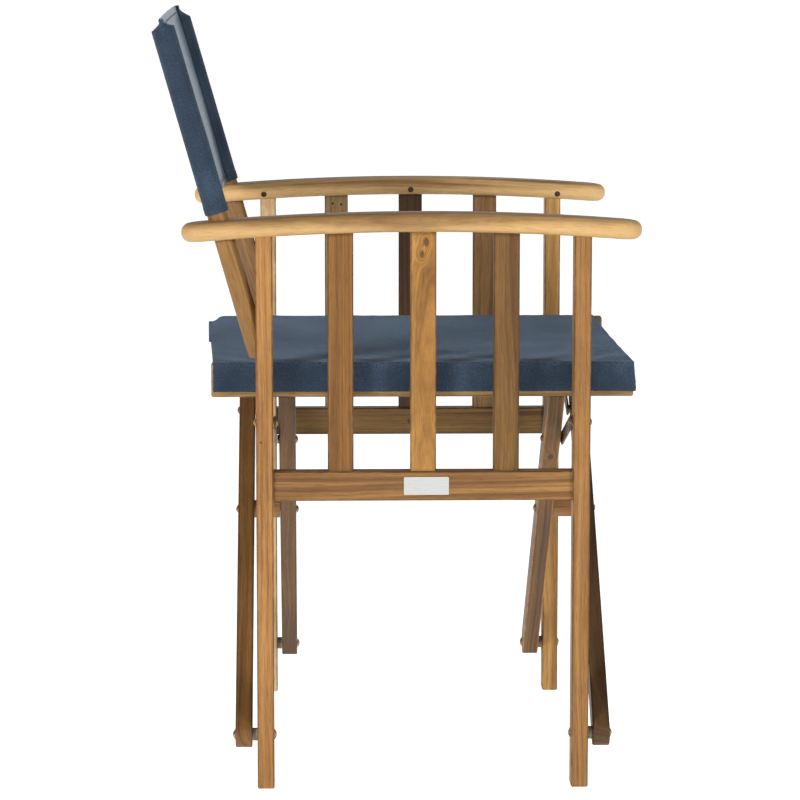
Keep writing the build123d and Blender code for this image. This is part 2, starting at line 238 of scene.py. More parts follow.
def growth_rings(g, x, y, z, seed, knots):
    """Distance from a pith line outside the bar, bent by a slow wobble and round each knot.

    Also gives how dark the knots are at each place, or None without any.
    """
    pith_angle = 2.4 * seed
    wobble = g.noise(g.joined(g.math("MULTIPLY", x, 9.0), g.math("MULTIPLY", y, 9.0),
                              g.math("MULTIPLY_ADD", z, 2.6, SEED_STEP * seed)), detail=1.0)
    ring = g.length(g.math("SUBTRACT", x, PITH * math.cos(pith_angle)),
                    g.math("SUBTRACT", y, PITH * math.sin(pith_angle)))
    ring = g.math("MULTIPLY_ADD", wobble, 0.020, ring)
    knot_dark = None
    for knot_y, knot_z, radius in knots:
        dy = g.math("MULTIPLY", g.math("SUBTRACT", y, knot_y * MM), 1 / (radius * MM))
        dz = g.math("MULTIPLY", g.math("SUBTRACT", z, knot_z * MM), 0.6 / (radius * MM))
        away = g.length(dy, dz)
        swirl = g.math("POWER", 2.718, g.math("MULTIPLY", g.math("MULTIPLY", away, away), -0.35))
        ring = g.math("MULTIPLY_ADD", swirl, 0.009, ring)
        dark = g.remap(away, 1.15, 0.45)
        knot_dark = dark if knot_dark is None else g.math("MAXIMUM", knot_dark, dark)
    return ring, knot_dark


def wood(name, tone, centre, turn=(0.0, 0.0, 0.0), half=None, seed=0, streaks=0.5, bow=0.0,
         knots=(), holes=(), edge=0.55, sapwood_and_light=False):
    """Oiled hardwood with its grain along a bar's own Z axis.

    centre (mm) and turn (degrees) place the bar, and half is its half size across the grain.
    knots and holes are (y, z, radius) in the bar's own axes, in millimetres. edge is how bright the
    bar's long edges are painted beside its faces: under 1 a painted shade, over 1 a painted highlight.
    With sapwood, a bar is paler on its +Y side and towards its ends, partly as pale outer wood and partly
    as painted light, and its heartwood is darker.
    """
    g = Graph("wood_" + name)
    x, y, z = bar_axes(g, centre, turn, bow)
    ring, knot_dark = growth_rings(g, x, y, z, seed, knots)
    shift = SEED_STEP * seed

    # Broad bands and fine lines along the rings, with a slow change over the bar.
    bands = g.noise(g.joined(g.math("MULTIPLY", ring, 330.0), g.math("MULTIPLY_ADD", z, 2.4, shift)),
                    detail=3.0, dimensions="2D")
    fine = g.noise(g.joined(g.math("MULTIPLY", ring, 1300.0), g.math("MULTIPLY_ADD", z, 26.0, shift)),
                   detail=3.0, roughness=0.65, dimensions="2D")
    slow = g.noise(g.joined(g.math("MULTIPLY", x, 25.0), g.math("MULTIPLY", y, 25.0),
                            g.math("MULTIPLY_ADD", z, 7.0, -shift)), detail=2.0)
    figure = g.math("ADD", g.math("MULTIPLY", bands, 0.44), g.math("MULTIPLY", fine, 0.34))
    figure = g.math("MULTIPLY_ADD", slow, 0.22, figure)
    colour = g.ramp(figure, [(0.32, linear(*scaled(tone, 0.70, 0.64, 0.56))),
                             (0.44, linear(*scaled(tone, 0.91, 0.89, 0.86))),
                             (0.53, linear(*scaled(tone, 1.03, 1.03, 1.03))),
                             (0.66, linear(*scaled(tone, 1.17, 1.18, 1.20)))])

    # Dark heartwood streaks; a paler +Y side (an arm's underside) and ends, partly pale outer wood, partly
    # painted light.
    heart = g.noise(g.joined(g.math("MULTIPLY", ring, 85.0), g.math("MULTIPLY_ADD", z, 1.3, 3 * shift)),
                    detail=2.0, dimensions="2D")
    heart_low = 0.42 if sapwood_and_light else 0.50
    heart = g.math("MULTIPLY", g.remap(heart, heart_low, heart_low + 0.16), streaks)
    colour = g.mix(heart, colour, linear(*scaled(tone, 0.60, 0.52, 0.44)))
    if sapwood_and_light:
        pale = g.math("MULTIPLY_ADD", g.math("ABSOLUTE", z), 0.06, y)
        pale = g.remap(g.math("MULTIPLY_ADD", slow, 0.016, pale), 0.008, 0.020)
        colour = g.mix(g.math("MULTIPLY", pale, 0.8), colour, linear(*scaled(tone, 1.19, 1.22, 1.27)))
    if knot_dark is not None:
        knot_tone = linear(*scaled(tone, 0.42, 0.34, 0.28))
        colour = g.mix(g.math("MULTIPLY", knot_dark, 0.8), colour, knot_tone)

    # Short open pores along the grain, and nail holes painted dark as painted shade inside them.
    pores = g.noise(g.joined(g.math("MULTIPLY", x, 1500.0), g.math("MULTIPLY", y, 1500.0),
                             g.math("MULTIPLY", z, 75.0)), detail=3.0)
    pores = g.remap(pores, 0.53, 0.68)
    colour = g.mix(g.math("MULTIPLY", pores, 0.36), colour, linear(*scaled(tone, 0.58, 0.50, 0.42)))
    for hole_y, hole_z, radius in holes:
        away = g.length(g.math("SUBTRACT", y, hole_y * MM), g.math("SUBTRACT", z, hole_z * MM))
        inside = g.remap(away, radius * 1.25 * MM, radius * 0.75 * MM)
        colour = g.mix(inside, colour, linear(34, 24, 16))

    rough = g.remap(figure, 0.3, 0.7, 0.56, 0.44)
    if half is not None:
        # Painted shade along the rounded edges, or a painted highlight there where edge is over 1: the
        # distance from a face's nearer edge, broken up by noise.
        from_x = g.math("SUBTRACT", half[0] * MM, g.math("ABSOLUTE", x))
        from_y = g.math("SUBTRACT", half[1] * MM, g.math("ABSOLUTE", y))
        rim = g.remap(g.math("MAXIMUM", from_x, from_y), 0.0021, 0.0006)
        patchy = g.remap(g.noise(g.joined(x, y, z), scale=60.0, detail=3.0), 0.30, 0.62, 0.35, 1.0)
        rim = g.math("MULTIPLY", rim, patchy)
        colour = g.mix(rim, colour, linear(*scaled(tone, edge, edge * 0.95, edge * 0.90)))
    relief = g.math("SUBTRACT", g.math("MULTIPLY", fine, 0.5), g.math("MULTIPLY", pores, 0.6))
    return g.finish(Base_Color=colour, Roughness=rough, Normal=g.bump(relief, 0.00022, 0.7),
                    Specular_IOR_Level=0.24, Coat_Weight=0.03, Coat_Roughness=0.32)


def canvas(name, tone, glance, fuzz):
    """Plain-woven cotton canvas. The cloth layer of the mesh gives thread coordinates, in metres.

    glance and fuzz are how much light the fibres throw along the cloth, which shows nearly edge-on.
    """
    g = Graph(name)
    u, v, _ = g.node("SeparateXYZ", {"Vector": g.node("UVMap", uv_map="cloth").outputs[0]}).outputs
    pitch = 0.00085
    warp = g.math("MULTIPLY", u, 1 / pitch)
    weft = g.math("MULTIPLY", v, 1 / pitch)
    warp_round = g.math("SINE", g.math("MULTIPLY", g.math("FRACT", warp), math.pi))
    weft_round = g.math("SINE", g.math("MULTIPLY", g.math("FRACT", weft), math.pi))
    over = g.math("FLOORED_MODULO", g.math("ADD", g.math("FLOOR", warp), g.math("FLOOR", weft)), 2.0)
    crossing = g.math("MULTIPLY", warp_round, weft_round)
    warp_high = g.math("MULTIPLY_ADD", crossing, 0.5, g.math("MULTIPLY", warp_round, 0.5))
    weft_high = g.math("MULTIPLY_ADD", crossing, 0.5, g.math("MULTIPLY", weft_round, 0.5))
    height = g.node("Mix", {0: over, 2: warp_high, 3: weft_high}, data_type="FLOAT").outputs[0]

    # Thick and thin places along each thread, and a slow fade over the whole cloth.
    warp_slub = g.noise(g.joined(g.math("MULTIPLY", warp, 0.9), g.math("MULTIPLY", weft, 0.05)),
                        detail=2.0, dimensions="2D")
    weft_slub = g.noise(g.joined(g.math("MULTIPLY", warp, 0.05), g.math("MULTIPLY", weft, 0.9), 0.0),
                        detail=2.0, dimensions="2D")
    slub = g.node("Mix", {0: over, 2: warp_slub, 3: weft_slub}, data_type="FLOAT").outputs[0]
    mottle = g.noise(g.joined(u, v), scale=520.0, detail=2.0, roughness=0.6, dimensions="2D")
    fade = g.noise(g.joined(u, v), scale=14.0, detail=3.0, dimensions="2D")
    shade = g.math("MULTIPLY_ADD", slub, 0.24, g.math("MULTIPLY", mottle, 0.34))
    shade = g.math("MULTIPLY_ADD", fade, 0.42, shade)
    colour = g.ramp(shade, [(0.36, linear(*scaled(tone, 0.74, 0.77, 0.81))),
                            (0.50, linear(*tone)),
                            (0.64, linear(*scaled(tone, 1.36, 1.30, 1.22)))])
    # Painted shade in the low places between the threads.
    gap_shade = g.remap(height, 0.30, 0.05)
    colour = g.mix(g.math("MULTIPLY", gap_shade, 0.55), colour, linear(*scaled(tone, 0.45, 0.47, 0.52)))
    # Paler where the mesh's wear layer says: worn hems, and painted light along the seat's folds and over
    # its top.
    wear_and_light = g.node("Attribute", attribute_name="wear_and_light", attribute_type="GEOMETRY").outputs["Fac"]
    wear_and_light = g.math("MULTIPLY", wear_and_light, g.remap(mottle, 0.40, 0.62))
    colour = g.mix(g.math("MULTIPLY", wear_and_light, 0.55), colour, linear(*scaled(tone, 1.9, 1.75, 1.6)))
    rough = g.remap(slub, 0.3, 0.7, 0.80, 0.95)
    relief = g.math("MULTIPLY_ADD", mottle, 0.6, height)
    return g.finish(Base_Color=colour, Roughness=rough, Normal=g.bump(relief, 0.00030, 0.8),
                    Specular_IOR_Level=0.22, Coat_Weight=glance, Coat_Roughness=0.26, Coat_IOR=1.2,
                    Sheen_Weight=fuzz, Sheen_Roughness=0.28, Sheen_Tint=linear(178, 208, 242))


def thread(name, tone):
    """Twisted sewing thread."""
    g = Graph(name)
    point = g.node("TexCoord").outputs["Object"]
    twist = g.noise(point, scale=2600.0, detail=1.0)
    colour = g.mix(twist, linear(*scaled(tone, 0.7, 0.7, 0.7)), linear(*scaled(tone, 1.3, 1.3, 1.3)))
    return g.finish(Base_Color=colour, Roughness=0.62, Normal=g.bump(twist, 0.0001, 0.6),
                    Sheen_Weight=0.15, Sheen_Roughness=0.4)


def metal(name, tone, dull, metallic, rough, patina, scale=220.0, stretch=(1.0, 1.0, 1.0)):
    """Plated metal with duller patches. patina is their share, and stretch draws them out as brushing."""
    g = Graph(name)
    point = g.node("Mapping", {"Vector": g.node("TexCoord").outputs["Object"], "Scale": stretch}).outputs[0]
    spots = g.noise(point, scale=scale, detail=4.0, roughness=0.65)
    grain = g.noise(point, scale=scale * 7, detail=2.0)
    share = g.math("MULTIPLY", g.remap(spots, 0.42, 0.66), patina)
    colour = g.mix(share, linear(*tone), linear(*dull))
    colour = g.mix(g.math("MULTIPLY", grain, 0.25), colour, linear(*scaled(tone, 0.6, 0.6, 0.6)))
    roughness = g.math("MULTIPLY_ADD", share, 0.3, g.math("MULTIPLY_ADD", grain, 0.12, rough))
    return g.finish(Base_Color=colour, Metallic=metallic, Roughness=roughness,
                    Normal=g.bump(grain, 0.00008, 0.5))


def nylon(name, tone):
    """Moulded plastic, slightly cloudy and scuffed."""
    g = Graph(name)
    point = g.node("TexCoord").outputs["Object"]
    cloud = g.noise(point, scale=160.0, detail=3.0)
    scuff = g.noise(point, scale=1400.0, detail=2.0)
    colour = g.mix(cloud, linear(*scaled(tone, 0.78, 0.76, 0.74)), linear(*scaled(tone, 1.2, 1.2, 1.2)))
    return g.finish(Base_Color=colour, Roughness=g.remap(scuff, 0.3, 0.7, 0.42, 0.60),
                    Normal=g.bump(scuff, 0.00006, 0.5), Specular_IOR_Level=0.5)


def floor_paint():
    """Pale matt studio floor, with a very slight unevenness."""
    g = Graph("floor_paint")
    point = g.node("TexCoord").outputs["Object"]
    blotch = g.noise(point, scale=0.8, detail=3.0)
    colour = g.mix(blotch, linear(247, 247, 247), linear(251, 251, 251))
    return g.finish(Base_Color=colour, Roughness=0.9, Specular_IOR_Level=0.1,
                    Emission_Color=(1.0, 1.0, 1.0, 1.0), Emission_Strength=FLOOR_GLOW)


def dress(node, material):
    """Give a CAD node one material in place of its plain one."""
    slots = NODES[node].data.materials
    slots.clear()
    slots.append(material)


ALONG_Y = (-90.0, 0.0, 0.0)    # turns a bar's own Z axis to the chair's Y axis


def dress_side_frame(side, tones):
    """The wood of one side frame. tones gives each bar's colour and how streaky it is."""
    x = SIDES[side] * SIDE_X
    seed = 1 if side == "right" else 21
    for place, forward in LEGS.items():
        tone, streaks = tones[place + "_leg"]
        node = f"{side}_{place}_leg"
        holes = [(4.1, 92.0, 1.1)] if node == "right_rear_leg" else []
        dress(node, wood(node, tone, (x, y_at(forward), LEG_MIDDLE), half=LEG_HALF, seed=seed,
                         streaks=streaks, holes=holes))
        seed += 1
    for place, forward in SLATS.items():
        tone, streaks = tones[place + "_slat"]
        node = f"{side}_{place}_slat"
        knots = [(1.5, 120.0, 3.0), (-3.0, 133.0, 3.6)] if node == "right_middle_slat" else []
        holes = [(-6.0, 132.0, 1.4), (4.5, 133.0, 1.4)] if node == "left_rear_slat" else []
        dress(node, wood(node, tone, (x, y_at(forward), SLAT_MIDDLE), half=SLAT_HALF, seed=seed,
                         streaks=streaks, knots=knots, holes=holes))
        seed += 1
    middle = y_at(LEGS["front"] / 2)
    tone, streaks = tones["lower_rail"]
    dress(f"{side}_lower_rail", wood(f"{side}_lower_rail", tone, (x, middle, RAIL_Z), ALONG_Y, RAIL_HALF,
                                     seed + 1, streaks))
    tone, streaks = tones["armrest"]
    dress(f"{side}_armrest", wood(f"{side}_armrest", tone, (x, middle, ARM_Z), ALONG_Y, None, seed + 2,
                                  streaks, bow=ARM_BOW, sapwood_and_light=True))
    tone, streaks = tones["back_post"]
    post_at = (x, y_at(POST_FORWARD), POST_HEIGHT)
    dress(f"{side}_back_post", wood(f"{side}_back_post", tone, post_at, (-POST_LEAN, 0, 0), None, seed + 3,
                                    streaks))


def dress_cross_frames(tones):
    """The wood of the cross legs, the seat rails and the turned spacers between the legs."""
    tilt = 90 - CROSS_SLOPE
    seed = 41
    for name, way, offset in (("outer", 1, -CROSS_OFFSET), ("inner", -1, CROSS_OFFSET)):
        for place, forward in LEGS.items():
            inward = 1 if place == "rear" else -1
            node = f"{name}_{place}_cross_leg"
            tone, streaks = tones[node]
            centre = (0, y_at(forward + inward * offset), CROSS_Z)
            # The inner front cross leg has a knot, and a painted highlight along its long edges where the
            # others have painted shade.
            knot_and_lit_edges = node == "inner_front_cross_leg"
            dress(node, wood(node, tone, centre, (0, way * tilt, 0), CROSS_HALF, seed, streaks,
                             knots=[(0.0, 137.0, 4.0)] if knot_and_lit_edges else [], edge=1.6 if knot_and_lit_edges else 0.6))
            seed += 1
    for side, way in SIDES.items():
        tone, streaks = tones[side + "_seat_rail"]
        centre = (way * (SEAT_RAIL_OUT + SEAT_RAIL_IN) / 2, y_at(SEAT_RAIL_MID), SEAT_RAIL_Z)
        dress(f"{side}_seat_rail", wood(f"{side}_seat_rail", tone, centre, ALONG_Y, SEAT_RAIL_HALF, seed,
                                        streaks))
        seed += 1
    dress("cross_spacers", wood("cross_spacers", (168, 124, 76), (0, 0, CROSS_Z), ALONG_Y, None, seed, 0.4))


def dress_fittings():
    """Plugs, bolts, straps, screws, spacers and the plate."""
    brass = metal("antique_brass", (176, 142, 92), (70, 52, 34), 0.95, 0.30, 0.85)
    strap = metal("strap_steel", (118, 108, 96), (74, 58, 44), 0.90, 0.36, 0.75, 160.0)
    screw = metal("screw_steel", (150, 148, 142), (96, 88, 78), 0.95, 0.34, 0.5)
    plate = metal("brushed_plate", (190, 191, 188), (174, 174, 170), 0.55, 0.36, 0.4, 90.0,
                  (1.0, 1.0, 14.0))
    spacer = nylon("spacer_nylon", (148, 136, 118))
    plug_wood = wood("plugs", (66, 46, 32), (0, 0, 500), (0.0, 90.0, 0.0), None, 61, 0.3)
    for side in SIDES:
        dress(f"{side}_frame_plugs", plug_wood)
        dress(f"{side}_foot_bolts", brass)
        dress(f"{side}_strap_bolts", brass)
        dress(f"{side}_strap_rivets", brass)
        dress(f"{side}_foot_spacers", spacer)
        dress(f"{side}_rail_screws", screw)
        for place in LEGS:
            dress(f"{side}_{place}_strap", strap)
    for node in ("outer_strap_end_bolts", "inner_strap_end_bolts", "cross_bolts"):
        dress(node, brass)
    dress("name_plate", plate)


# ---- meshes ------------------------------------------------------------------------------------
def smooth(value, low, high):
    """0 below low, 1 above high, and a smooth step between. high may be the smaller."""
    share = np.clip((value - low) / (high - low), 0, 1)
    return share * share * (3 - 2 * share)


def ripple(a, b, seed=0.0):
    """Smooth noise between about -1 and 1, at arrays of two coordinates."""
    flat = [noise.noise(Vector((p, q, seed))) for p, q in zip(np.ravel(a), np.ravel(b))]
    return np.array(flat).reshape(np.shape(a))


def mesh_object(name, points, faces, material):
    """A smooth-shaded mesh object from points in millimetres."""
    mesh = bpy.data.meshes.new(name)
    mesh.from_pydata((np.asarray(points) * MM).tolist(), [], faces)
    mesh.shade_smooth()
    mesh.materials.append(material)
    made = bpy.data.objects.new(name, mesh)
    bpy.context.scene.collection.objects.link(made)
    return made


def grid_normals(grid, wraps):
    """Unit normals of a grid of points. Its columns may wrap round."""
    down = np.gradient(grid, axis=0)
    if wraps:
        across = np.roll(grid, -1, axis=1) - np.roll(grid, 1, axis=1)
    else:
        across = np.gradient(grid, axis=1)
    normals = np.cross(across, down)
    return normals / np.linalg.norm(normals, axis=2, keepdims=True)


def cloth_piece(name, under, thick, uv, wear_and_light, material, wraps=False, joined_column=None):
    """Cloth with an underside given as a grid of points, a thickness at each, and sewn-up edges.

    The cloth goes on as another piece at joined_column, so its shading doesn't turn over the edge.
    """
    rows, columns = thick.shape
    normals = grid_normals(under, wraps)
    over = under + normals * thick[..., None]
    points = np.concatenate([under.reshape(-1, 3), over.reshape(-1, 3)])
    index = np.arange(rows * columns).reshape(rows, columns)
    layer = rows * columns
    faces = []
    last = columns if wraps else columns - 1
    for r in range(rows - 1):
        for c in range(last):
            d = (c + 1) % columns
            a, b, e, f = index[r, c], index[r, d], index[r + 1, d], index[r + 1, c]
            faces.append((a, f, e, b))
            faces.append((a + layer, b + layer, e + layer, f + layer))
    rims = [[index[0, c % columns] for c in range(last + 1)],
            [index[-1, c % columns] for c in range(last, -1, -1)]]
    if not wraps:
        rims.append([index[r, -1] for r in range(rows)])
        rims.append([index[r, 0] for r in range(rows - 1, -1, -1)])
    for rim in rims:
        for a, b in zip(rim, rim[1:]):
            faces.append((a, b, b + layer, a + layer))
    faces = [tuple(int(i) for i in face) for face in faces]
    made = mesh_object(name, points, faces, material)
    mesh = made.data
    layer_uv = mesh.uv_layers.new(name="cloth")
    both = np.concatenate([uv.reshape(-1, 2), uv.reshape(-1, 2)]) * MM
    corners = np.empty(len(mesh.loops), dtype=np.int32)
    mesh.loops.foreach_get("vertex_index", corners)
    layer_uv.data.foreach_set("uv", both[corners].astype(np.float32).ravel())
    if joined_column is not None:
        edge_points = np.concatenate([index[:, joined_column], index[:, joined_column] + layer])
        ends = np.empty(2 * len(mesh.edges), dtype=np.int32)
        mesh.edges.foreach_get("vertices", ends)
        sharp = mesh.attributes.new("sharp_edge", "BOOLEAN", "EDGE")
        sharp.data.foreach_set("value", np.isin(ends, edge_points).reshape(-1, 2).all(axis=1))
    worn = mesh.attributes.new("wear_and_light", "FLOAT", "POINT")
    worn.data.foreach_set("value", np.concatenate([wear_and_light.ravel(), wear_and_light.ravel()]).astype(np.float32))
    return made, over, normals


def stitch_row(line, normals):
    """Points and faces of a row of stitches laid along a line on the cloth."""
    steps = np.linalg.norm(np.diff(line, axis=0), axis=1)
    run = np.concatenate([[0], np.cumsum(steps)])
    count = int(run[-1] / STITCH)
    centres = (np.arange(count) + 0.5) * run[-1] / count
    at = np.stack([np.interp(centres, run, line[:, k]) for k in range(3)], axis=1)
    ahead = np.stack([np.interp(centres + 0.5, run, line[:, k]) for k in range(3)], axis=1)
    behind = np.stack([np.interp(centres - 0.5, run, line[:, k]) for k in range(3)], axis=1)
    up = np.stack([np.interp(centres, run, normals[:, k]) for k in range(3)], axis=1)
    along = ahead - behind
    along /= np.linalg.norm(along, axis=1, keepdims=True)
    side = np.cross(along, up)
    side /= np.linalg.norm(side, axis=1, keepdims=True)
    up = np.cross(side, along)
    sides = 6
    turns = np.arange(sides) * 2 * np.pi / sides
    profile = [(-0.5, 0.35), (-0.36, 0.9), (0.0, 1.0), (0.36, 0.9), (0.5, 0.35)]
    points = []
    faces = []
    for k in range(count):
        start = len(points)
        for reach, fat in profile:
            sink = 0.25 * STITCH_R - 1.2 * STITCH_R * (2 * abs(reach)) ** 3
            for turn in turns:
                points.append(at[k] + along[k] * reach * STITCH_LONG + up[k] * sink
                              + (side[k] * math.cos(turn) + up[k] * math.sin(turn)) * fat * STITCH_R)
        for ring in range(len(profile) - 1):
            for s in range(sides):
                a = start + ring * sides + s
                b = start + ring * sides + (s + 1) % sides
                faces.append((a, b, b + sides, a + sides))
        faces.append(tuple(start + s for s in reversed(range(sides))))
        faces.append(tuple(start + (len(profile) - 1) * sides + s for s in range(sides)))
    return points, faces


def stitching(name, rows, material):
    """One object from several rows of stitches, each a line on the cloth with its normals."""
    points = []
    faces = []
    for line, normals in rows:
        row_points, row_faces = stitch_row(np.asarray(line), np.asarray(normals))
        faces += [tuple(i + len(points) for i in face) for face in row_faces]
        points += row_points
    return mesh_object(name, points, faces, material)


def stations(length, step, hem):
    """Places along a cloth edge to edge, with extra ones where it is hemmed and at its two ends."""
    start = [0.0, 0.35, 1.1, 4.5, hem - 0.9, hem - 0.2, hem + 0.7, hem + 3]
    count = int((length - 2 * start[-1]) / step)
    middle = np.linspace(start[-1], length - start[-1], count + 1)
    return np.concatenate([start[:-1], middle, [length - s for s in reversed(start[:-1])]])


def edge_rounding(from_edge):
    """Share of the thickness at a place this far from a cut or folded edge."""
    return 0.45 + 0.55 * np.sqrt(np.clip(from_edge / 1.1, 0, 1))


def hemmed(from_edge):
    """Thickness at a place this far from a hemmed edge."""
    return CLOTH + (HEM_CLOTH - CLOTH) * smooth(from_edge, HEM + 0.6, HEM - 0.8)


# ---- the seat ----------------------------------------------------------------------------------
FOLD_X = SEAT_RAIL_OUT + HOLLOW - FOLD_R
FOLD_Z = SEAT_RAIL_HIGH + HOLLOW - FOLD_R
FOLD_LONG = FOLD_R * math.pi / 2
SEAT_HALF = FOLD_X + FOLD_LONG + FOLD_Z - FLAP_LOW    # from the middle to a flap's lower edge


def seat_section(s):
    """x and z of the seat cloth's underside, at a distance from its middle along the cloth."""
    reach = np.abs(s)
    turn = np.clip((reach - FOLD_X) / FOLD_R, 0, math.pi / 2)
    drop = np.clip(reach - FOLD_X - FOLD_LONG, 0, None)
    x = np.minimum(reach, FOLD_X) + FOLD_R * np.sin(turn)
    z = FOLD_Z + FOLD_R * np.cos(turn) - drop
    return np.sign(s) * x, z


def seat_points(s, t):
    """The seat cloth's underside at arrays of distance across (mm) and share from rear to front."""
    x, z = seat_section(s)
    lean = (x / SEAT_RAIL_OUT + 1) / 2
    rear = SEAT_REAR[0] + (SEAT_REAR[1] - SEAT_REAR[0]) * lean
    front = SEAT_FRONT[0] + (SEAT_FRONT[1] - SEAT_FRONT[0]) * lean
    forward = rear + t * (front - rear)
    top = smooth(np.abs(s), FOLD_X + 1, FOLD_X - 2)
    span = np.clip(1 - (x / SEAT_RAIL_IN) ** 2, 0, 1)
    z = z - SEAT_SAG * span * (EDGE_SAG + (1 - EDGE_SAG) * smooth(np.sin(math.pi * t), 0.0, 0.8))

    # Past the end of the left rail nothing holds the cloth up, so its corner drops.
    loose = smooth(forward, SEAT_RAIL_BACK + 2, -68.0)
    flap_share = np.clip((np.abs(s) - FOLD_X - FOLD_LONG) / (FOLD_Z - FLAP_LOW), 0, 1)
    z = z - CORNER_DROP * loose * smooth(x, 83.0, 218.0) * (1 - flap_share)
    x = x - 1.2 * loose * smooth(x, 213.0, SEAT_RAIL_OUT)

    # Dimples, gathers at the rear hem, and the rolled, uneven edge over each rail.
    dimple = ripple(x / 46, forward / 46, 1.0) * 0.9 + ripple(x / 17, forward / 17, 2.0) * 0.25
    z = z + dimple * top * span ** 0.5
    gather = np.sin(2 * math.pi * (x + 9 * ripple(x / 40, forward / 40, 3.0)) / 24.0)
    gather = gather * np.exp(-(forward - rear) / 26.0) * smooth(x, -60.0, 20.0) * smooth(x, 190.0, 150.0)
    z = z + 0.6 * gather * span ** 0.5
    to_end = np.minimum(forward - rear, front - forward)
    pucker = np.exp(-((to_end - HEM) / 5.0) ** 2) * ripple(x / 5.5, np.sign(t - 0.5) * 3.0, 11.0)
    z = z + 0.5 * pucker * span ** 0.25
    rolled = np.exp(-((np.abs(s) - FOLD_X - 1.0) / 4.5) ** 2)
    lift = rolled * (0.35 + 0.55 * np.clip(ripple(forward / 15, s / 60, 4.0) + 0.25, 0, None))
    z = z + lift
    x = x + np.sign(s) * lift * 0.6

    # The flaps hang a little off the rails, most of all at the right front corner.
    flare = smooth(forward, 388.0, 414.0) * smooth(-x, 0.0, 100.0)
    hang = flap_share * (0.5 + 0.5 * np.clip(ripple(forward / 55, s / 80, 5.0) + 0.4, 0, None))
    crumple = flare * flap_share * (2.0 + 1.3 * ripple(forward / 5, s / 7, 6.0))
    x = x + np.sign(s) * (hang + crumple)
    forward = forward + flare * flap_share * (2.6 + 1.4 * ripple(s / 4, s / 9, 7.0))
    return np.stack([x, y_at(forward), z], axis=-1)


def seat_thickness(s, t):
    """Thickness of the seat cloth, with its hems and rounded edges."""
    long = SEAT_FRONT[0] - SEAT_REAR[0]
    from_end = np.minimum(t, 1 - t) * long
    from_flap = SEAT_HALF - np.abs(s)
    thick = np.maximum(hemmed(from_end), hemmed(from_flap))
    return thick * edge_rounding(np.minimum(from_end, from_flap))


def seat(material, thread_material):
    """The seat cloth over both rails, and the stitches in its hems."""
    long = SEAT_FRONT[0] - SEAT_REAR[0]
    flap = [0.0, 0.35, 1.1, 3.6, 6.4, HEM - 0.9, HEM - 0.2, HEM + 0.7, 13.0, 17.0, 22.0, 26.5]
    fold = np.linspace(SEAT_HALF - FOLD_X - FOLD_LONG, SEAT_HALF - FOLD_X, 6)
    flat = np.linspace(SEAT_HALF - FOLD_X + 2.5, SEAT_HALF, 42)
    across = np.concatenate([flap, fold, flat])
    across = np.concatenate([across - SEAT_HALF, (SEAT_HALF - across[:-1])[::-1]])
    along = stations(long, 4.6, HEM) / long
    s, t = np.meshgrid(across, along)
    under = seat_points(s, t)
    thick = seat_thickness(s, t)
    from_end = np.minimum(t, 1 - t) * long
    # Paler at the worn cut edges, along each fold over a rail as wear and a painted highlight, and over the
    # top as painted light from above.
    fold_highlight_and_wear = np.exp(-((np.abs(s) - FOLD_X - 1.5) / 2.6) ** 2)
    edge_wear = np.exp(-np.minimum(from_end, SEAT_HALF - np.abs(s)) / 1.2)
    painted_top_light = 0.35 * smooth(np.abs(s), FOLD_X + 1, FOLD_X - 6)
    wear_and_light = np.clip(0.8 * fold_highlight_and_wear + 0.5 * edge_wear + painted_top_light, 0, 1)
    uv = np.stack([s, t * long], axis=-1)
    cloth, _, _ = cloth_piece("seat_cloth", under, thick, uv, wear_and_light, material)

    rows = []
    for inset in (HEM - 1.3, HEM - 3.6):
        for share in (inset / long, 1 - inset / long):
            line_s = np.linspace(-SEAT_HALF + 1.5, SEAT_HALF - 1.5, 260)
            rows.append(seat_line(line_s, np.full_like(line_s, share)))
        for way in (-1, 1):
            line_t = np.linspace(0.004, 0.996, 240)
            rows.append(seat_line(np.full_like(line_t, way * (SEAT_HALF - inset)), line_t))
    stitches = stitching("seat_stitches", rows, thread_material)
    for piece in (cloth, stitches):
        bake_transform(piece)
    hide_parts("seat_sling")


def seat_line(s, t):
    """Points on top of the seat cloth along a line, and the cloth's normals there."""
    here = seat_points(s, t)
    aside = seat_points(s + 0.4, t)
    ahead = seat_points(s, t + 0.001)
    normals = np.cross(aside - here, ahead - here)
    normals /= np.linalg.norm(normals, axis=1, keepdims=True)
    thick = seat_thickness(s, t)[:, None]
    return here + normals * thick, normals


# ---- the back ----------------------------------------------------------------------------------
LEAN = math.radians(POST_LEAN)


def leaning(x, back, rise):
    """Points from x, distance behind the plane of the posts' axes, and distance up that plane."""
    y = y_at(POST_FORWARD) + back * math.cos(LEAN) + rise * math.sin(LEAN)
    z = POST_HEIGHT + rise * math.cos(LEAN) - back * math.sin(LEAN)
    return np.stack(np.broadcast_arrays(x, y, z), axis=-1)


def up_post(height):
    """Distance up the posts' plane to a height above the floor."""
    return (height - POST_HEIGHT) / math.cos(LEAN)


def panel_back(rise):
    """How far the panel lies behind the posts' axes: a little less half-way up, where it is pulled flat."""
    low = up_post(PANEL_LOW)
    share = (rise - low) / (up_post(PANEL_TOP) - low)
    return PANEL_BACK + 1.6 * (2 * share - 1) ** 2 - 0.8


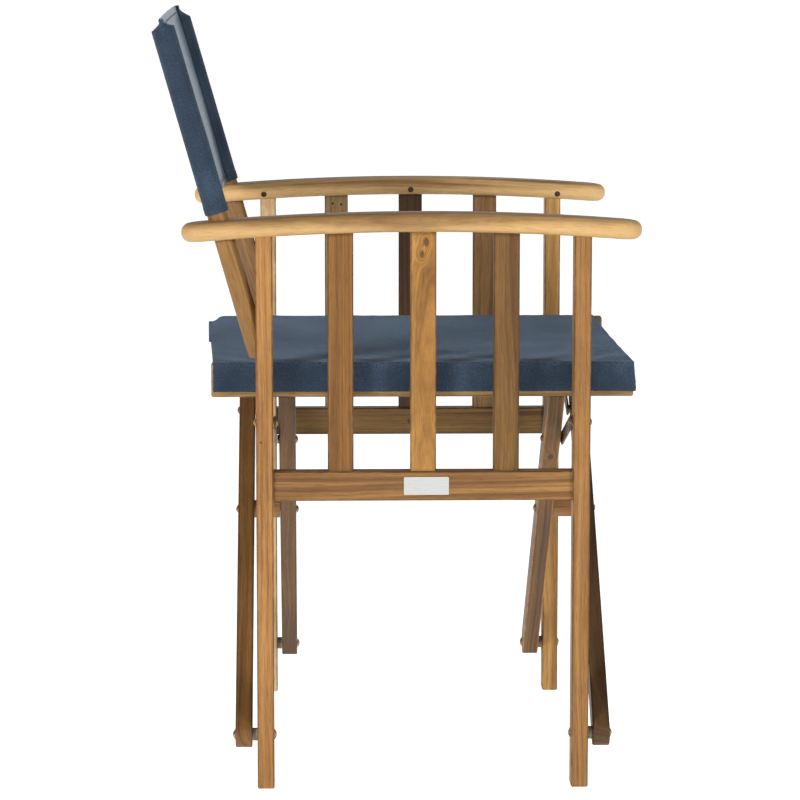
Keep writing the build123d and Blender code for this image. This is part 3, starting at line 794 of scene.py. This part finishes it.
def sleeve(side, material, thread_material):
    """The tube of cloth on one post, pinched flat at its top."""
    way = SIDES[side]
    low = up_post(SLEEVE_LOW[side])
    shoulder = up_post(SLEEVE_SHOULDER[side])
    ridge = up_post(SLEEVE_RIDGE[side])
    body = shoulder - low
    at_hem = [0.0, 0.35, 1.1, 4.5, HEM - 0.9, HEM - 0.2, HEM + 0.7]
    rises = np.concatenate([at_hem, np.linspace(HEM + 3, body - 6, 26), [body - 3.5, body - 1.5]]) + low
    pinch = np.array([0.0, 0.05, 0.12, 0.2, 0.3, 0.42, 0.55, 0.68, 0.8, 0.9, 1.0])
    v = np.concatenate([np.zeros(len(rises)), pinch])
    rise = np.concatenate([rises, shoulder + (ridge - shoulder) * pinch ** 0.95])
    turns = np.linspace(0, 2 * math.pi, 64, endpoint=False)
    v, turn = np.meshgrid(v, turns, indexing="ij")
    rise = np.broadcast_to(rise[:, None], turn.shape)
    slant = math.asin(PANEL_BACK / (POST_R + TAIL))
    off = (turn - slant + math.pi) % (2 * math.pi) - math.pi
    radius = POST_R + HOLLOW + TAIL * np.exp(-(np.abs(off) / 0.22) ** 1.6)
    loose = ripple(np.cos(turn) * 1.2 + rise / 70, np.sin(turn) * 1.2 + way * 9, 8.0)
    slack = 0.12 + 0.5 * np.clip(loose, 0, None)
    radius = radius + slack
    open_share = (1 - v) ** 2.2
    inward = radius * np.cos(turn) * (1 - v ** 1.5) + RIDGE_HALF * np.cos(turn) * v ** 1.5
    back = radius * np.sin(turn) * open_share + 0.08 * np.sin(turn) * (1 - open_share)
    back = back + (panel_back(rise) - 0.6) * (1 - open_share)
    round_off = 1.0 * np.exp(-v * 14) * (v > 0)
    under = leaning(-way * inward + way * SIDE_X, back, rise - round_off)
    if way > 0:
        under = under[:, ::-1]
        turn = turn[:, ::-1]
    from_low = rise - low
    thick = (CLOTH + 0.35 * (hemmed(from_low) - CLOTH)) * edge_rounding(from_low)
    thick = np.where(v > 0, CLOTH + 0.8 * smooth(v, 0.6, 0.9), thick)
    wear_and_light = np.clip(0.6 * np.exp(-from_low / 1.2) + 0.7 * smooth(v, 0.9, 1.0), 0, 1)
    uv = np.stack([turn * (POST_R + 3), rise], axis=-1)
    cloth, over, normals = cloth_piece(f"{side}_sleeve", under, thick, uv, wear_and_light, material, wraps=True)
    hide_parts("back_sling")

    hem_row = int(np.argmin(np.abs(rises - low - (HEM - 0.9))))
    ring = np.concatenate([over[hem_row], over[hem_row][:1]])
    ring_normals = np.concatenate([normals[hem_row], normals[hem_row][:1]])
    stitches = stitching(f"{side}_sleeve_stitches", [(ring, ring_normals)], thread_material)
    for piece in (cloth, stitches):
        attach(piece, f"{side}_side")
    return cloth


def back_panel(side, material, thread_material):
    """Half of the cloth between the sleeves, from one sleeve to the middle, hemmed at top and bottom.

    Each half is hung from its own side's body, so as the chair folds neither half leaves its post.
    """
    way = SIDES[side]
    low = up_post(PANEL_LOW)
    high = up_post(PANEL_TOP)
    half = SIDE_X - POST_R - TAIL
    rises = stations(high - low, 6.0, HEM) + low
    across = np.linspace(min(0.0, way * half), max(0.0, way * half), 42)
    x, rise = np.meshgrid(across, rises)
    from_end = np.minimum(rise - low, high - rise)
    thick = hemmed(from_end) * edge_rounding(from_end)
    wear_and_light = np.clip(np.exp(-from_end / 1.2), 0, 1)
    uv = np.stack([x, rise], axis=-1)
    sheet = panel_points(x, rise)[::-1]
    cloth, _, _ = cloth_piece(f"{side}_back_panel", sheet, thick[::-1], uv[::-1], wear_and_light[::-1], material,
                              joined_column=-1 if way < 0 else 0)

    seam = half - SEAM_IN
    lines = []
    for rise_at in (low + HEM - 1.3, high - HEM + 1.3):
        span = np.linspace(0.0, way * seam, 100)
        lines.append((span, np.full_like(span, rise_at)))
    for inset in (0.0, 2.4):
        climb = np.linspace(low + 1.5, high - 1.5, 120)
        lines.append((np.full_like(climb, way * (seam - inset)), climb))
    forward = leaning(0.0, -1.0, 0.0) - leaning(0.0, 0.0, 0.0)
    rows = []
    for line_x, line_rise in lines:
        from_end = np.minimum(line_rise - low, high - line_rise)
        front = hemmed(from_end) * edge_rounding(from_end)
        base = panel_points(line_x, line_rise)
        normals = np.broadcast_to(forward, base.shape)
        rows.append((base + normals * front[:, None], normals))
        rows.append((base - normals * 0.05, -normals))
    stitches = stitching(f"{side}_back_stitches", rows, thread_material)

    anchor = leaning(way * half, PANEL_BACK, (low + high) / 2) * MM
    for piece in (cloth, stitches):
        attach(piece, f"{side}_side")
        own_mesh(piece)
    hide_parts("back_sling")


def panel_points(x, rise):
    """The back panel's rear face at arrays of x and of distance up the posts' plane."""
    span = np.clip(1 - (x / (SIDE_X - POST_R)) ** 2, 0, 1)
    wave = ripple(x / 60, rise / 90, 9.0) * 1.1 + ripple(x / 22, rise / 60, 10.0) * 0.25
    back = panel_back(rise) + 2.0 * span + wave * span ** 0.5
    return leaning(x, back, rise)


# ---- camera, light, floor ----------------------------------------------------------------------
def add_camera():
    """The photograph's view of the chair's right-hand side."""
    pitch = math.radians(CAMERA_PITCH)
    yaw = math.radians(CAMERA_YAW)
    roll = math.radians(CAMERA_ROLL)
    ahead = Vector((math.cos(yaw) * math.cos(pitch), -math.sin(yaw) * math.cos(pitch), -math.sin(pitch)))
    level = Vector((-math.sin(yaw), -math.cos(yaw), 0.0))
    above = level.cross(ahead)
    right = math.cos(roll) * level + math.sin(roll) * above
    up = math.cos(roll) * above - math.sin(roll) * level
    data = bpy.data.cameras.new("camera")
    data.lens = LENS
    data.sensor_width = 36.0
    data.clip_end = 300.0
    camera = bpy.data.objects.new("camera", data)
    turn = Matrix((right, up, -ahead)).transposed().to_4x4()
    camera.matrix_world = Matrix.Translation(CAMERA_AT) @ turn
    bpy.context.scene.collection.objects.link(camera)
    bpy.context.scene.camera = camera


def softbox(name, place, power):
    """A square area light pointed at the chair."""
    data = bpy.data.lights.new(name, "AREA")
    data.size = SOFTBOX_SIZE
    data.energy = power
    lamp = bpy.data.objects.new(name, data)
    lamp.location = place
    lamp.rotation_euler = (Vector(SOFTBOX_AIM) - Vector(place)).to_track_quat("-Z", "Y").to_euler()
    bpy.context.scene.collection.objects.link(lamp)


def add_light():
    """A room that is white only beyond the chair, with a softbox each side of the camera."""
    scene = bpy.context.scene
    world = bpy.data.worlds.new("studio")
    world.use_nodes = True
    nodes = world.node_tree.nodes
    links = world.node_tree.links
    way = nodes.new("ShaderNodeSeparateXYZ")
    links.new(nodes.new("ShaderNodeTexCoord").outputs["Generated"], way.inputs[0])
    aside = nodes.new("ShaderNodeMath")
    aside.operation = "ABSOLUTE"
    links.new(way.outputs["Y"], aside.inputs[0])

    strength = None
    for value, low, high, to_low, to_high in (
            (way.outputs["Z"], 0.05, 0.50, WALL_LIGHT, CEILING_LIGHT),
            (aside.outputs[0], 0.45, 0.90, 1.0, SIDE_LIGHT),
            (way.outputs["X"], -0.45, 0.25, NEAR_LIGHT, 1.0)):
        fall = nodes.new("ShaderNodeMapRange")
        fall.interpolation_type = "SMOOTHSTEP"
        for key, number in (("From Min", low), ("From Max", high), ("To Min", to_low), ("To Max", to_high)):
            fall.inputs[key].default_value = number
        links.new(value, fall.inputs["Value"])
        if strength is None:
            strength = fall.outputs["Result"]
            continue
        both = nodes.new("ShaderNodeMath")
        both.operation = "MULTIPLY"
        links.new(strength, both.inputs[0])
        links.new(fall.outputs["Result"], both.inputs[1])
        strength = both.outputs[0]
    nodes["Background"].inputs["Color"].default_value = (1.0, 1.0, 1.0, 1.0)
    links.new(strength, nodes["Background"].inputs["Strength"])
    scene.world = world
    scene.view_settings.view_transform = "Standard"
    for name, (place, power) in SOFTBOXES.items():
        softbox(name, place, power)


def add_floor():
    """A large pale floor under the chair's feet."""
    half = FLOOR_SIZE / 2
    corners = [(-half, -half, 0), (half, -half, 0), (half, half, 0), (-half, half, 0)]
    mesh = bpy.data.meshes.new("floor")
    mesh.from_pydata(corners, [], [(0, 1, 2, 3)])
    mesh.materials.append(floor_paint())
    floor = bpy.data.objects.new("floor", mesh)
    bpy.context.scene.collection.objects.link(floor)


# ---- the chair's colours -----------------------------------------------------------------------
# Each bar's display colour, and how strong its dark streaks are.
RIGHT_TONES = {
    "rear_leg": ((148, 105, 55), 0.25), "front_leg": ((137, 97, 51), 0.4),
    "rear_slat": ((116, 79, 34), 0.25), "middle_slat": ((151, 108, 51), 0.2),
    "front_slat": ((102, 72, 33), 0.6), "lower_rail": ((135, 98, 54), 0.6),
    "armrest": ((158, 125, 79), 0.8), "back_post": ((125, 91, 45), 0.35),
}
LEFT_TONES = {
    "rear_leg": ((178, 148, 106), 0.4), "front_leg": ((164, 124, 68), 0.3),
    "rear_slat": ((158, 130, 86), 0.35), "middle_slat": ((75, 49, 26), 0.5),
    "front_slat": ((123, 91, 53), 0.7), "lower_rail": ((104, 77, 38), 0.7),
    "armrest": ((176, 140, 91), 0.8), "back_post": ((126, 92, 54), 0.5),
}
CROSS_TONES = {
    "outer_rear_cross_leg": ((110, 76, 38), 0.45), "outer_front_cross_leg": ((76, 53, 29), 0.5),
    "inner_rear_cross_leg": ((93, 63, 25), 0.6), "inner_front_cross_leg": ((99, 68, 27), 0.5),
    "right_seat_rail": ((140, 112, 68), 0.4), "left_seat_rail": ((102, 78, 48), 0.5),
}
NAVY = (46, 60, 76)

add_camera()
add_light()
add_floor()
dress_side_frame("right", RIGHT_TONES)
dress_side_frame("left", LEFT_TONES)
dress_cross_frames(CROSS_TONES)
dress_fittings()
navy = canvas("navy_canvas_weave", NAVY, 0.03, 0.36)
seat(navy, thread("seat_thread", (58, 75, 98)))
back_thread = thread("back_thread", (32, 42, 56))
for side_name in SIDES:
    sleeve(side_name, navy, back_thread)
taut = canvas("taut_canvas_weave", NAVY, 1.0, 0.45)
for side_name in SIDES:
    back_panel(side_name, taut, back_thread)
